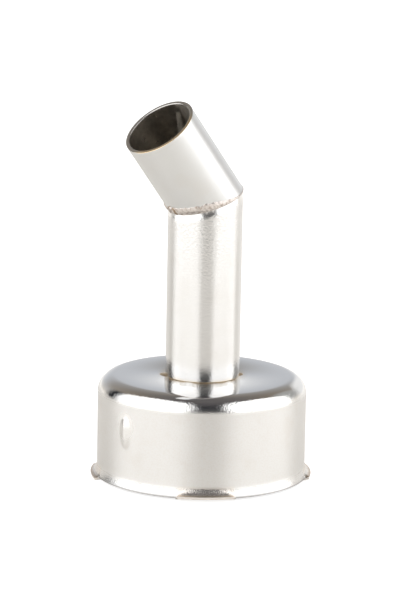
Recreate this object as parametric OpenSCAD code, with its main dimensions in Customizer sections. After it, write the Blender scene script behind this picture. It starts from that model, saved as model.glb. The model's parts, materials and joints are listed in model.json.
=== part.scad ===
// Bent hot air nozzle: a pressed bayonet cup, a straight stem tube brazed into its top and a
// mitred tip tube welded to the stem. The lugs under the cup's rim stand on z = 0, the cup and the
// stem share the Z axis, and one lug points along -Y. Bearings are measured from -Y towards +X.

/* [Cup] */
// Outside diameter of the cup's wall
cup_od = 33.8; // [30:0.1:40]
// Thickness of the cup's sheet
cup_sheet = 0.45; // [0.3:0.05:0.7]
// Height from the undersides of the lugs to the top face
cup_h = 16.7; // [13.5:0.1:24]
// Outside radius of the rounded shoulder
shoulder_r = 2.7; // [1.5:0.1:4]

/* [Rim] */
// How far the plain lip flares out from the wall
lip_flare = 0.4; // [0.2:0.05:0.6]
// Height of the flared stretch of the wall
lip_h = 1.9; // [1.2:0.1:2.4]
// Height of the lip's edge above the undersides of the lugs
lip_lift = 0.5; // [0.2:0.05:0.7]
// Number of bayonet lugs around the rim
lug_count = 4; // [2:1:5]
// Angle that one lug covers
lug_angle = 31; // [20:1:50]
// Outside radius of the bend between the wall and a lug
lug_bend_r = 1; // [0.4:0.05:1.5]
// Flat length of a lug beyond its bend
lug_flat = 0.05; // [0.05:0.05:1.5]

/* [Pip] */
// Width of the pip that is pressed out of the wall
pip_w = 2.8; // [2:0.1:4]
// Length of the pip between its round ends
pip_straight = 3.1; // [0.5:0.1:4]
// How far the pip stands out from the wall
pip_proud = 0.3; // [0.15:0.01:0.45]
// Height of the pip's centre above the undersides of the lugs
pip_z = 9.9; // [7.5:0.1:10.5]
// Bearing of the pip
pip_bearing = -49; // [-70:1:-25]

/* [Tubes] */
// Outside diameter of the stem and tip tubes
tube_od = 12; // [9:0.1:14]
// Wall of the tubes
tube_wall = 0.6; // [0.4:0.05:1]
// Stem length from the cup's top face to the centre of the mitre
stem_len = 28.9; // [20:0.1:45]
// Tip length from the centre of the mitre to the mouth
tip_len = 15.55; // [10:0.1:30]
// Angle between the tip and the stem
bend_angle = 38; // [15:1:60]
// Bearing that the tip leans towards
tip_bearing = -55; // [-180:1:180]

/* [Joints between the pieces] */
// Radial gap between the stem and its hole in the cup
hole_gap = 0.05; // [0.02:0.01:0.15]
// Width of the weld bead on the outside of the bend, where it is thin
weld_w = 0.45; // [0.3:0.05:1]
// Reach of the bead along the tip on the inside of the bend, where it is wide
weld_reach = 1.5; // [0.6:0.05:2.2]
// How far the bead stands proud of the tubes where it is wide
weld_proud = 0.18; // [0.1:0.02:0.4]
// Extra height of the bead where the weld ends, on the inside of the bend
weld_end = 0.1; // [0.05:0.05:0.4]
// Leg of the brazed fillet around the foot of the stem
braze_leg = 0.25; // [0.2:0.05:0.8]
// Reach of the pool of braze on the left of the stem
left_pool_reach = 1.3; // [0.9:0.05:2]
// Reach of the pool of braze on the right of the stem
right_pool_reach = 0.9; // [0.9:0.05:2]
// Height that a pool of braze climbs up the stem
pool_h = 0.35; // [0.25:0.05:0.7]

/* [Hidden] */
$fn = 96;

// The cup's wall, lip and lugs
cup_r = cup_od / 2;
flare_arc_r = (lip_h * lip_h + lip_flare * lip_flare) / (2 * lip_flare);
flare_c = cup_r + flare_arc_r;
flare_mouth_r = flare_c - sqrt((flare_arc_r + cup_sheet) * (flare_arc_r + cup_sheet) - lip_h * lip_h);
lug_pitch = 360 / lug_count;

// The pip's capsule, from its width and height across the round wall
pip_sag = pip_proud + cup_r - sqrt(cup_r * cup_r - pip_w * pip_w / 4);
pip_r = (pip_w * pip_w / 4 + pip_sag * pip_sag) / (2 * pip_sag);

// The two tubes
tube_r = tube_od / 2;
tube_bore_r = tube_r - tube_wall;
stem_foot_z = cup_h - cup_sheet;
mitre_z = cup_h + stem_len;
mitre_rise = tube_r * tan(bend_angle / 2);

// Blocks and cutters reach this far past what they cut
spare = 1;
half_space = 4 * (tip_len + tube_od);

// The weld bead's rings, the steps across each ring and the bead's gap over the tubes
weld_rings = 72;
weld_steps = 8;
weld_gap = 0.01;

// Turn at the middle of the bead's wide stretch, and how far from it the bead stays wide and ends thin
weld_wide_turn = 12;
weld_wide_half = 45;
weld_thin_half = 118;
weld_thin_proud = 0.06;
weld_stem_reach = 0.06;

// The brazed fillet's hollow face
braze_arc_r = 1.4 * braze_leg;
braze_arc_c = braze_leg / 2 + sqrt(braze_arc_r * braze_arc_r / 2 - braze_leg * braze_leg / 4);
left_pool_bearing = -88;
right_pool_bearing = 92;

steel = "#d9d3cc";
tip_steel = "#dcd8d3";
weld_steel = "#b9ada6";
braze_gold = "#a87a45";

// Turns +X to a bearing
module at_bearing(bearing) {
    rotate([0, 0, bearing - 90]) children();
}

// Half section of a plain drawn cup above the lip's edge: wall, rounded shoulder and flat top
module cup_section(r, h, corner) {
    translate([0, lip_lift]) square([r, h - lip_lift - corner]);
    translate([0, lip_lift]) square([r - corner, h - lip_lift]);
    translate([r - corner, h - corner]) circle(corner);
}

// Half section under the flare, with its hollow face an arc about the flare's centre
module flare_section(r, arc_r) {
    translate([0, lip_lift]) difference() {
        square([r, lip_h]);
        translate([flare_c, lip_h]) circle(arc_r);
    }
}

// The cup's outer form, from the flared lip to the flat top
module cup_outside() {
    rotate_extrude() {
        cup_section(cup_r, cup_h, shoulder_r);
        flare_section(cup_r + lip_flare, flare_arc_r);
    }
}

// The space inside the cup, one sheet in from the outer form and open at the rim
module cup_inside() {
    rotate_extrude() {
        cup_section(cup_r - cup_sheet, cup_h - cup_sheet, shoulder_r - cup_sheet);
        flare_section(flare_mouth_r, flare_arc_r + cup_sheet);
        translate([0, -spare]) square([flare_mouth_r, lip_lift + spare]);
    }
}

// Section of a lug: a short flat flange below the lip that runs up into it through a hollow bend
module lug_section() {
    bend_top = cup_sheet + lug_bend_r;
    difference() {
        intersection() {
            translate([cup_r - cup_sheet, 0]) square([cup_sheet + lug_bend_r + lug_flat, bend_top]);
            translate([flare_c, lip_lift + lip_h]) circle(flare_arc_r + cup_sheet / 2);
        }
        translate([cup_r + lug_bend_r, bend_top]) circle(lug_bend_r);
        translate([cup_r + lug_bend_r, cup_sheet]) square([lug_flat + spare, lug_bend_r + spare]);
    }
}

// The lugs, evenly spaced around the rim
module lugs() {
    for (i = [0 : lug_count - 1])
        at_bearing(i * lug_pitch - lug_angle / 2) rotate_extrude(angle = lug_angle) lug_section();
}

// Upright capsule that forms the pip, outside at its full radius and inside one sheet less
module pip_capsule(r) {
    capsule_half = pip_straight / 2 + r + spare;
    at_bearing(pip_bearing)
        translate([cup_r + pip_proud - pip_r, 0, pip_z])
            rotate_extrude() intersection() {
                union() {
                    square([2 * r, pip_straight], center = true);
                    for (side = [-1, 1])
                        translate([0, side * pip_straight / 2]) circle(r);
                }
                translate([0, -capsule_half]) square([r + spare, 2 * capsule_half]);
            }
}

// Pressed sheet cup with its shoulder, flared lip, lugs, pip and stem hole
module bayonet_cup() {
    color(steel) difference() {
        union() {
            cup_outside();
            lugs();
            pip_capsule(pip_r);
        }
        cup_inside();
        pip_capsule(pip_r - cup_sheet);
        translate([0, 0, stem_foot_z - spare]) cylinder(r = tube_r + hole_gap, h = cup_sheet + 2 * spare);
    }
}

// Moves the XY plane to the mitre plane, with +X on the inside of the bend
module at_mitre() {
    translate([0, 0, mitre_z]) at_bearing(tip_bearing) rotate([0, bend_angle / 2, 0]) children();
}

// Everything on one side of the mitre plane: the tip's side or the stem's side
module beyond_mitre(tip_side) {
    at_mitre() translate([-half_space / 2, -half_space / 2, tip_side ? 0 : -half_space]) cube(half_space);
}

// Moves the Z axis to the tip tube's axis, with its zero at the centre of the mitre
module along_tip() {
    translate([0, 0, mitre_z]) at_bearing(tip_bearing) rotate([0, bend_angle, 0]) children();
}

// Solid rod of the stem's size, cut at the mitre
module stem_rod(r) {
    difference() {
        translate([0, 0, stem_foot_z]) cylinder(r = r, h = mitre_z - stem_foot_z + mitre_rise + spare);
        beyond_mitre(tip_side = true);
    }
}

// Solid rod of the tip's size, cut at the mitre and square at the mouth
module tip_rod(r) {
    difference() {
        along_tip() translate([0, 0, -mitre_rise - spare]) cylinder(r = r, h = tip_len + mitre_rise + spare);
        beyond_mitre(tip_side = false);
    }
}

// Straight tube from the cup's top sheet to the mitre
module stem_tube() {
    color(steel) difference() {
        stem_rod(tube_r);
        translate([0, 0, stem_foot_z - spare])
            cylinder(r = tube_bore_r, h = mitre_z - stem_foot_z + mitre_rise + 3 * spare);
    }
}

// Mitred tube from the stem to the mouth
module tip_tube() {
    color(tip_steel) difference() {
        tip_rod(tube_r);
        along_tip() translate([0, 0, -mitre_rise - 2 * spare])
            cylinder(r = tube_bore_r, h = tip_len + mitre_rise + 3 * spare);
    }
}

// A point on the tubes' outer faces, near the mitre: turn goes around the ellipse where they
// meet, from the inside of the bend, and side is the distance from the mitre plane
function seam_point(turn, side, lift) =
    let (r = tube_r + lift)
    [r * cos(turn) / cos(bend_angle / 2) + abs(side) * tan(bend_angle / 2), r * sin(turn), side];

// The value at share of the way from a to b
function lerp(a, b, share) = a + (b - a) * share;

// 1 where the bead is wide, on the inside of the bend, and 0 where it is thin
function wide_share(turn) =
    let (
        away = abs((turn - weld_wide_turn + 540) % 360 - 180),
        share = min(1, max(0, (weld_thin_half - away) / (weld_thin_half - weld_wide_half)))
    )
    share * share * (3 - 2 * share);

// A ring of the bead: an arched face from the stem's edge to the tip's, then back along the seam
function bead_ring(turn) =
    let (
        wide = wide_share(turn),
        stem_edge = -lerp(weld_w / 2, weld_stem_reach, wide),
        tip_edge = lerp(weld_w / 2, weld_reach, wide),
        proud = lerp(weld_thin_proud, weld_proud, wide) + weld_end * pow(max(0, cos(turn)), 8)
    )
    [
        for (j = [0 : weld_steps])
            let (share = j / weld_steps)
            seam_point(turn, lerp(stem_edge, tip_edge, share), weld_gap + 4 * proud * share * (1 - share)),
        seam_point(turn, 0, weld_gap)
    ];

// Weld bead around the outside of the mitre
module mitre_weld() {
    ring_points = weld_steps + 2;
    points = [for (i = [0 : weld_rings - 1]) each bead_ring(360 * i / weld_rings)];
    faces = [
        for (i = [0 : weld_rings - 1], j = [0 : ring_points - 1])
            let (i2 = (i + 1) % weld_rings, j2 = (j + 1) % ring_points)
            [i * ring_points + j, i * ring_points + j2, i2 * ring_points + j2, i2 * ring_points + j]
    ];
    color(weld_steel) at_mitre() polyhedron(points, faces);
}

// Low round pool of braze, centred where the stem meets the top face
module braze_pool(bearing, reach) {
    drop = (reach * reach - pool_h * pool_h) / (2 * pool_h);
    at_bearing(bearing) translate([tube_r, 0, cup_h]) rotate_extrude() intersection() {
        translate([0, -drop]) circle(drop + pool_h);
        square([reach + spare, pool_h + spare]);
    }
}

// Hollow fillet of braze around the foot of the stem, with a pool on each side
module braze_ring() {
    color(braze_gold) difference() {
        union() {
            translate([0, 0, cup_h]) rotate_extrude() difference() {
                square([tube_r + braze_arc_c, braze_arc_c]);
                translate([tube_r + braze_arc_c, braze_arc_c]) circle(braze_arc_r);
            }
            braze_pool(left_pool_bearing, left_pool_reach);
            braze_pool(right_pool_bearing, right_pool_reach);
        }
        translate([0, 0, cup_h - spare]) cylinder(r = tube_r, h = pool_h + braze_leg + 2 * spare);
    }
}

bayonet_cup();
stem_tube();
tip_tube();
mitre_weld();
braze_ring();
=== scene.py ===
"""Visual model of a bent hot air nozzle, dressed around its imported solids.

The nozzle is a pressed bayonet cup, a stem tube brazed into the cup's top and a mitred tip tube
welded to the stem. Main sizes come from the solids' boxes and from the record's mounts. The
fields of each class hold the details: lengths in metres, and angles in degrees. Bearings run from
-Y towards +X.
"""

import json
import logging
import math
import sys
from dataclasses import dataclass
from enum import Enum, IntEnum
from typing import Any, Callable, Dict, List, Optional, Sequence, Tuple, Union

import bmesh
import bpy
from mathutils import Matrix, Vector, noise

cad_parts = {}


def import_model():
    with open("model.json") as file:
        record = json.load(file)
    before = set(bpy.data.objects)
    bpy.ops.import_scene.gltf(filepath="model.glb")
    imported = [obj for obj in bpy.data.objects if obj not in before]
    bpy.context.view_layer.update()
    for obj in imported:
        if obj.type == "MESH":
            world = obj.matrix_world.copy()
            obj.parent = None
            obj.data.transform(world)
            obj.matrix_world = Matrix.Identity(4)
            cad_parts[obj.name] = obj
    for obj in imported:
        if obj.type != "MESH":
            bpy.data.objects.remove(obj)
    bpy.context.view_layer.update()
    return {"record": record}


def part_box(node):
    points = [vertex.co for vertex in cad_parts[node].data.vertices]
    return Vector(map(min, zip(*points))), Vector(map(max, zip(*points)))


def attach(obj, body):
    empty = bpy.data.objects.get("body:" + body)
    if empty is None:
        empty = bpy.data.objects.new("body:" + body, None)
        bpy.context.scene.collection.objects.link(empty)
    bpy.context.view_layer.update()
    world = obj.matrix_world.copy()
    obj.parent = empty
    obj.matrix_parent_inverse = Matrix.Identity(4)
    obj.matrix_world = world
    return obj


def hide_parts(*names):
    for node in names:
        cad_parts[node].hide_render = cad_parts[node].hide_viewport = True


LOG = logging.getLogger("nozzle")
MM = 0.001
UP = Vector((0.0, 0.0, 1.0))
ORIGIN = (0.0, 0.0, 0.0)
LEVEL = (1.0, 1.0, 0.0)
WHITE = (1.0, 1.0, 1.0)
BLACK = (0.0, 0.0, 0.0)
SHARP_ANGLE = math.radians(50)
MERGE_DISTANCE = 1e-7
ROUNDING = 1e-6
GRAIN_MIDDLE = 0.5

Colour = Tuple[float, float, float]
Point = Tuple[float, float, float]
Span = Tuple[float, float]
Stops = Tuple[Tuple[float, Colour], ...]
Value = Union["Wire", float, Sequence[float]]


class Slot(Enum):
    """Material slots of the record."""

    CUP = "cup_steel"
    STEM = "stem_steel"
    TIP = "tip_steel"
    WELD = "weld_steel"
    BRAZE = "braze"


class Node(Enum):
    """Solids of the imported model."""

    CUP = "bayonet_cup"
    STEM = "stem_tube"
    TIP = "tip_tube"
    WELD = "mitre_weld"
    BRAZE = "braze_ring"


class TipSide(IntEnum):
    """Surfaces of the tip tube, in the order of its finishes."""

    OUTSIDE = 0
    BORE = 1
    MOUTH = 2
    SEAM = 3


# Small helpers

def lerp(a: float, b: float, share: float) -> float:
    """Returns the value that lies at share of the way from a to b."""
    return a + (b - a) * share


def smoothstep(low: float, high: float, value: float) -> float:
    """Eases from 0 at low to 1 at high, where low may be above high."""
    share = min(1.0, max(0.0, (value - low) / (high - low)))
    return share * share * (3.0 - 2.0 * share)


def bearing_of(point: Vector) -> float:
    """Returns a point's bearing about the Z axis."""
    return math.degrees(math.atan2(point.x, -point.y))


def towards(bearing: float) -> Vector:
    """Returns the level unit vector at a bearing."""
    turn = math.radians(bearing)
    return Vector((math.sin(turn), -math.cos(turn), 0.0))


def sloping(bearing: float, elevation: float) -> Vector:
    """Returns the unit vector at a bearing and an elevation, both in degrees."""
    rise = math.radians(elevation)
    return towards(bearing) * math.cos(rise) + UP * math.sin(rise)


def turn_between(first: float, second: float) -> float:
    """Returns the turn from the second bearing to the first, from -180 to 180."""
    return (first - second + 180.0) % 360.0 - 180.0


def axes(first: Vector, second: Vector, third: Vector) -> Matrix:
    """Returns the turn that takes X, Y and Z to three unit vectors."""
    return Matrix((first, second, third)).transposed().to_4x4()


def rgba(colour: Colour) -> Tuple[float, float, float, float]:
    """Returns a colour with full cover."""
    return (*colour, 1.0)


def new_object(name: str, data: Any) -> bpy.types.Object:
    """Makes an object and links it to the scene.

    Args:
        name: The object's name.
        data: Its mesh, light or camera.

    Returns:
        The new object.
    """
    made = bpy.data.objects.new(name, data)
    bpy.context.scene.collection.objects.link(made)
    return made


# Node trees

def arithmetic(operation: str, reflected: bool = False) -> Callable[["Wire", Value], "Wire"]:
    """Makes an operator of a wire.

    Args:
        operation: The Math node's operation.
        reflected: Whether the wire stands on the operator's right.

    Returns:
        The method that adds the Math node.
    """
    def method(self: "Wire", other: Value) -> "Wire":
        """Adds the Math node."""
        return self.graph.maths(operation, *((other, self) if reflected else (self, other)))

    return method


class Wire:
    """An output socket whose arithmetic adds Math nodes."""

    __add__ = arithmetic("ADD")
    __radd__ = arithmetic("ADD", reflected=True)
    __sub__ = arithmetic("SUBTRACT")
    __rsub__ = arithmetic("SUBTRACT", reflected=True)
    __mul__ = arithmetic("MULTIPLY")
    __rmul__ = arithmetic("MULTIPLY", reflected=True)

    def __init__(self, graph: "Graph", socket: bpy.types.NodeSocket) -> None:
        """Wraps a socket of a graph."""
        self.graph = graph
        self.socket = socket

    def out(self, name: str) -> "Wire":
        """Returns another output of the same node."""
        return Wire(self.graph, self.socket.node.outputs[name])

    def eased(self, low: float, high: float) -> "Wire":
        """Eases from 0 at low to 1 at high, where low is below high."""
        span = {"Value": self, "From Min": low, "From Max": high}
        return self.graph.node("ShaderNodeMapRange", {"interpolation_type": "SMOOTHSTEP"}, span)

    def past(self, place: float, band: Span) -> "Wire":
        """Eases from 0 to 1 over a band that is measured from a place."""
        return self.eased(place + band[0], place + band[1])


class Graph:
    """A node tree that is written as Python expressions."""

    def __init__(self, tree: bpy.types.NodeTree) -> None:
        """Empties a tree and takes it over."""
        self.tree = tree
        self.tree.nodes.clear()

    def node(
        self,
        kind: str,
        settings: Optional[Dict[str, Any]] = None,
        inputs: Optional[Dict[Union[int, str], Value]] = None,
        output: Union[int, str, None] = 0,
    ) -> Optional[Wire]:
        """Adds a node.

        Args:
            kind: The node's type.
            settings: Its properties, set first. A ramp's stops are given as stops.
            inputs: Values or wires by socket name or number.
            output: The output to return, or None for a node that has none.

        Returns:
            The chosen output.
        """
        made = self.tree.nodes.new(kind)
        for name, value in (settings or {}).items():
            if name == "stops":
                self._set_stops(made.color_ramp, value)
            else:
                setattr(made, name, value)
        for key, value in (inputs or {}).items():
            socket = made.inputs[key]
            if isinstance(value, Wire):
                self.tree.links.new(value.socket, socket)
            else:
                socket.default_value = value
        return None if output is None else Wire(self, made.outputs[output])

    @staticmethod
    def _set_stops(ramp: bpy.types.ColorRamp, stops: Stops) -> None:
        """Gives a ramp its stops.

        Args:
            ramp: The ramp, with the two stops that it starts with.
            stops: Position and colour of each stop, from low to high.
        """
        while len(ramp.elements) < len(stops):
            ramp.elements.new(0.5)
        for element, (position, colour) in zip(ramp.elements, stops):
            element.position = position
            element.color = rgba(colour)

    def maths(self, operation: str, first: Value, second: Value = 0.0) -> Wire:
        """Adds a Math node for two values."""
        return self.node("ShaderNodeMath", {"operation": operation}, {0: first, 1: second})

    def vector(
        self, operation: str, first: Value, second: Value = ORIGIN, output: Union[int, str] = 0,
    ) -> Wire:
        """Adds a Vector Math node."""
        inputs = {0: first, 1: second}
        return self.node("ShaderNodeVectorMath", {"operation": operation}, inputs, output)

    def dot(self, first: Value, second: Value) -> Wire:
        """Returns the dot product of two vectors."""
        return self.vector("DOT_PRODUCT", first, second, "Value")

    def length(self, first: Value) -> Wire:
        """Returns a vector's length."""
        return self.vector("LENGTH", first, output="Value")

    def offset(self, place: Value, middle: Point, side: Point) -> Wire:
        """Returns how far a place lies from a middle point, measured towards one side."""
        return self.dot(self.vector("SUBTRACT", place, middle), side)

    def axis(self, place: Value, name: str) -> Wire:
        """Returns one coordinate of a place."""
        return self.node("ShaderNodeSeparateXYZ", inputs={"Vector": place}, output=name)

    def mix(self, share: Value, first: Value, second: Value) -> Wire:
        """Mixes two colours through the Mix node's colour sockets."""
        settings = {"data_type": "RGBA", "clamp_factor": True}
        return self.node("ShaderNodeMix", settings, {0: share, 6: first, 7: second}, 2)

    def ramp(self, share: Value, stops: Stops) -> Wire:
        """Adds a colour ramp."""
        return self.node("ShaderNodeValToRGB", {"stops": stops}, {"Fac": share}, "Color")

    def grain(self, place: Value, scale: float, detail: float = 2.0, rough: float = 0.5) -> Wire:
        """Adds a noise pattern.

        Args:
            place: Coordinates to read.
            scale: Grains to the metre.
            detail: Octaves.
            rough: Share that each finer octave keeps.

        Returns:
            The pattern's value, from 0 to 1.
        """
        inputs = {"Vector": place, "Scale": scale, "Detail": detail, "Roughness": rough}
        return self.node("ShaderNodeTexNoise", {"noise_dimensions": "3D"}, inputs)


# Finishes

@dataclass(frozen=True)
class Surface:
    """What a finish does over its surface: colour, roughness and relief in metres."""

    colour: Value
    roughness: Value
    height: Wire


@dataclass(frozen=True)
class Finish:
    """A metal finish. Each kind says how its colour, roughness and relief vary."""

    name: str
    colour: Colour
    roughness: float
    metallic: float = 1.0

    def surface(self, graph: Graph, place: Wire) -> Surface:
        """Returns how the finish varies.

        Args:
            graph: The material's graph.
            place: Object coordinates.

        Returns:
            The colour, roughness and relief.
        """
        raise NotImplementedError

    def material(self) -> bpy.types.Material:
        """Makes the finish's material.

        Returns:
            The new material.
        """
        made = bpy.data.materials.new(self.name)
        made.use_nodes = True
        graph = Graph(made.node_tree)
        surface = self.surface(graph, graph.node("ShaderNodeTexCoord", output="Object"))
        relief = {"Strength": 1.0, "Distance": 1.0, "Height": surface.height}
        shader = graph.node(
            "ShaderNodeBsdfPrincipled",
            inputs={
                "Base Color": surface.colour,
                "Metallic": self.metallic,
                "Roughness": surface.roughness,
                "Normal": graph.node("ShaderNodeBump", inputs=relief),
            },
        )
        graph.node("ShaderNodeOutputMaterial", inputs={"Surface": shader}, output=None)
        return made


@dataclass(frozen=True)
class PressedPlate(Finish):
    """Plated sheet: a mirror on the flat top, orange peel where the press stretched it.

    A band is measured from the height or radius that its use names.
    """

    top: float = 0.0
    shoulder: float = 0.0
    lip: float = 0.0
    lip_edge: float = 0.0
    lip_radius: float = 0.0
    stem_radius: float = 0.0
    lug_count: float = 0.0
    pip: Point = ORIGIN
    pip_squash: Point = (1.0, 1.0, 0.8)
    pip_span: Span = (1.26 * MM, 2.1 * MM)
    mirror_band: Span = (-0.9 * MM, -0.4 * MM)
    satin_band: Span = (-0.7 * MM, 1.35 * MM)
    peel_band: Span = (-0.6 * MM, 0.2 * MM)
    rim_band: Span = (-0.5 * MM, 0.1 * MM)
    lug_band: Span = (0.05 * MM, 0.4 * MM)
    lip_band: Span = (0.04 * MM, 0.12 * MM)
    edge_shade_band: Span = (0.12 * MM, 0.3 * MM)
    heat_band: Span = (0.2 * MM, 1.6 * MM)
    lug_cosine: Span = (0.4, 0.55)
    bright_roughness: float = 0.06
    rim_roughness: float = 0.26
    pip_roughness: float = 0.08
    edge_roughness: float = 0.42
    patch_roughness: float = 0.12
    patch_scale: float = 260.0
    peel: float = 0.026 * MM
    peel_scale: float = 4400.0
    rim_peel: float = 1.35
    satin: float = 0.008 * MM
    ripple: float = 0.004 * MM
    ripple_scale: float = 420.0
    speckle_span: Span = (0.4, 0.7)
    speckle_share: float = 0.3
    smudge: Colour = (0.69, 0.655, 0.615)
    smudge_span: Span = (0.52, 0.72)
    smudge_share: float = 0.25
    heat: Colour = (0.66, 0.53, 0.34)
    heat_share: float = 0.4
    tarnish: Colour = (0.745, 0.705, 0.66)
    scorch: Colour = (0.68, 0.58, 0.48)
    # Painted shade: the dark line along the lip's lower edge stands in for the contact shadow that this
    # edge reflects.
    edge: Colour = (0.44, 0.43, 0.42)

    def surface(self, graph: Graph, place: Wire) -> Surface:
        """Varies with height: mirror top, speckled bends, satin wall, brown lugs, and a painted shade
        line along the lip's lower edge.

        Args:
            graph: The material's graph.
            place: Object coordinates.

        Returns:
            The colour, roughness and relief.
        """
        height = graph.axis(place, "Z")
        radius = graph.length(graph.vector("MULTIPLY", place, LEVEL))
        top = height.past(self.top, self.mirror_band)
        above_rim = height.past(self.lip, self.rim_band)
        rim = 1.0 - above_rim
        wall = (1.0 - height.past(self.shoulder, self.satin_band)) * above_rim
        bend = (1.0 - top) * height.past(self.shoulder, self.peel_band) + rim * self.rim_peel
        turn = graph.maths("ARCTAN2", height.out("X"), height.out("Y"))
        scoop = graph.maths("COSINE", turn * self.lug_count).eased(*self.lug_cosine) * rim
        lip = 1.0 - radius.past(self.lip_radius, self.lip_band)
        # Painted shade: the lip's lowest strip is darkened as if it reflected the contact shadow
        # beneath it.
        edge_shade_line = lip * (1.0 - height.past(self.lip_edge, self.edge_shade_band))
        warm = 1.0 - radius.past(self.stem_radius, self.heat_band)
        beside = graph.vector("MULTIPLY", graph.vector("SUBTRACT", place, self.pip), self.pip_squash)
        raised = 1.0 - graph.length(beside).eased(*self.pip_span)
        patches = graph.grain(place, self.patch_scale, detail=3.0)
        peel = graph.grain(place, self.peel_scale, detail=1.0)
        tints = (
            (peel.eased(*self.speckle_span) * wall * self.speckle_share, self.smudge),
            (patches.eased(*self.smudge_span) * wall * self.smudge_share, self.smudge),
            (warm * top * self.heat_share, self.heat),
            (scoop, self.tarnish),
            (radius.past(self.lip_radius, self.lug_band), self.scorch),
            (edge_shade_line, self.edge),
        )
        colour = rgba(self.colour)
        for share, tint in tints:
            colour = graph.mix(share, colour, rgba(tint))
        roughness = self.bright_roughness + wall * (self.roughness - self.bright_roughness)
        roughness = roughness + (patches - GRAIN_MIDDLE) * wall * self.patch_roughness
        roughness = roughness + rim * (self.rim_roughness - self.bright_roughness)
        roughness = roughness + raised * (self.pip_roughness - self.roughness)
        roughness = roughness + edge_shade_line * (self.edge_roughness - self.rim_roughness)
        relief = peel * (bend * self.peel + wall * self.satin)
        relief = relief + graph.grain(place, self.ripple_scale, detail=1.0) * self.ripple
        return Surface(colour, roughness, relief)


@dataclass(frozen=True)
class SheetEdge(Finish):
    """Bare edge that a shear left, pale and matt."""

    mark: float = 0.004 * MM
    mark_scale: float = 3200.0
    mark_roughness: float = 0.2

    def surface(self, graph: Graph, place: Wire) -> Surface:
        """Varies with the shear's fine marks.

        Args:
            graph: The material's graph.
            place: Object coordinates.

        Returns:
            The colour, roughness and relief.
        """
        marks = graph.grain(place, self.mark_scale)
        roughness = self.roughness + (marks - GRAIN_MIDDLE) * self.mark_roughness
        return Surface(rgba(self.colour), roughness, marks * self.mark)


@dataclass(frozen=True)
class DrawnTube(Finish):
    """Plated tube with a fine grain, coarser near a weld and calm right under it.

    The weld lies far off unless its plane is given.
    """

    axis_scale: Point = (1.0, 1.0, 0.35)
    peel: float = 0.004 * MM
    peel_scale: float = 3000.0
    plain_peel: float = 0.8
    coarse_peel: float = 1.5
    coarse_span: Span = (1.0, 2.0)
    calm_span: Span = (0.4 * MM, 1.3 * MM)
    weld_normal: Point = (0.0, 0.0, 1.0)
    weld_offset: float = 1.0
    dull: Colour = (0.67, 0.645, 0.61)
    patch_scale: float = 320.0
    patch_span: Span = (0.5, 0.75)
    patch_share: float = 0.2
    patch_roughness: float = 0.08

    def surface(self, graph: Graph, place: Wire) -> Surface:
        """Varies with a grain that is drawn out along the tube, and with dull patches.

        Args:
            graph: The material's graph.
            place: Object coordinates.

        Returns:
            The colour, roughness and relief.
        """
        drawn = graph.vector("MULTIPLY", place, self.axis_scale)
        peel = graph.grain(drawn, self.peel_scale, detail=3.0, rough=0.6)
        patches = graph.grain(place, self.patch_scale, detail=3.0)
        share = patches.eased(*self.patch_span) * self.patch_share
        colour = graph.mix(share, rgba(self.colour), rgba(self.dull))
        roughness = self.roughness + (patches - GRAIN_MIDDLE) * self.patch_roughness
        coarse = self.plain_peel + graph.axis(place, "Z").eased(*self.coarse_span) * self.coarse_peel
        calm = (self.weld_offset - graph.dot(place, self.weld_normal)).eased(*self.calm_span)
        return Surface(colour, roughness, peel * coarse * calm * self.peel)


@dataclass(frozen=True)
class BurntBore(Finish):
    """Inside of a tube that hot air has darkened, and paler towards one side."""

    soot: Colour = (0.47, 0.435, 0.39)
    soot_scale: float = 500.0
    soot_span: Span = (0.3, 0.75)
    soot_roughness: float = 0.15
    soot_height: float = 0.012 * MM
    paler_side: Colour = (0.80, 0.755, 0.69)
    paler_towards: Point = ORIGIN
    paler_span: Span = (3.9 * MM, 4.4 * MM)
    paler_roughness: float = 0.13
    middle: Point = ORIGIN

    def surface(self, graph: Graph, place: Wire) -> Surface:
        """Varies with soot in soft patches, and is paler towards one side.

        Args:
            graph: The material's graph.
            place: Object coordinates.

        Returns:
            The colour, roughness and relief.
        """
        soot = graph.grain(place, self.soot_scale, detail=4.0, rough=0.6)
        paler_side = graph.offset(place, self.middle, self.paler_towards).eased(*self.paler_span)
        colour = graph.mix(soot.eased(*self.soot_span), rgba(self.colour), rgba(self.soot))
        colour = graph.mix(paler_side, colour, rgba(self.paler_side))
        roughness = self.roughness + (soot - GRAIN_MIDDLE) * self.soot_roughness
        roughness = roughness + paler_side * self.paler_roughness
        return Surface(colour, roughness, soot * self.soot_height)


@dataclass(frozen=True)
class MouthEdge(Finish):
    """Rounded edge of the mouth: grey, and golden on the side that heat tinted."""

    golden: Colour = (0.80, 0.66, 0.46)
    golden_side: Point = ORIGIN
    golden_span: Span = (1.5 * MM, 4.0 * MM)
    middle: Point = ORIGIN
    mark: float = 0.004 * MM
    mark_scale: float = 3000.0

    def surface(self, graph: Graph, place: Wire) -> Surface:
        """Varies around the mouth.

        Args:
            graph: The material's graph.
            place: Object coordinates.

        Returns:
            The colour, roughness and relief.
        """
        tint = graph.offset(place, self.middle, self.golden_side).eased(*self.golden_span)
        colour = graph.mix(tint, rgba(self.colour), rgba(self.golden))
        return Surface(colour, self.roughness, graph.grain(place, self.mark_scale) * self.mark)


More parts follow.
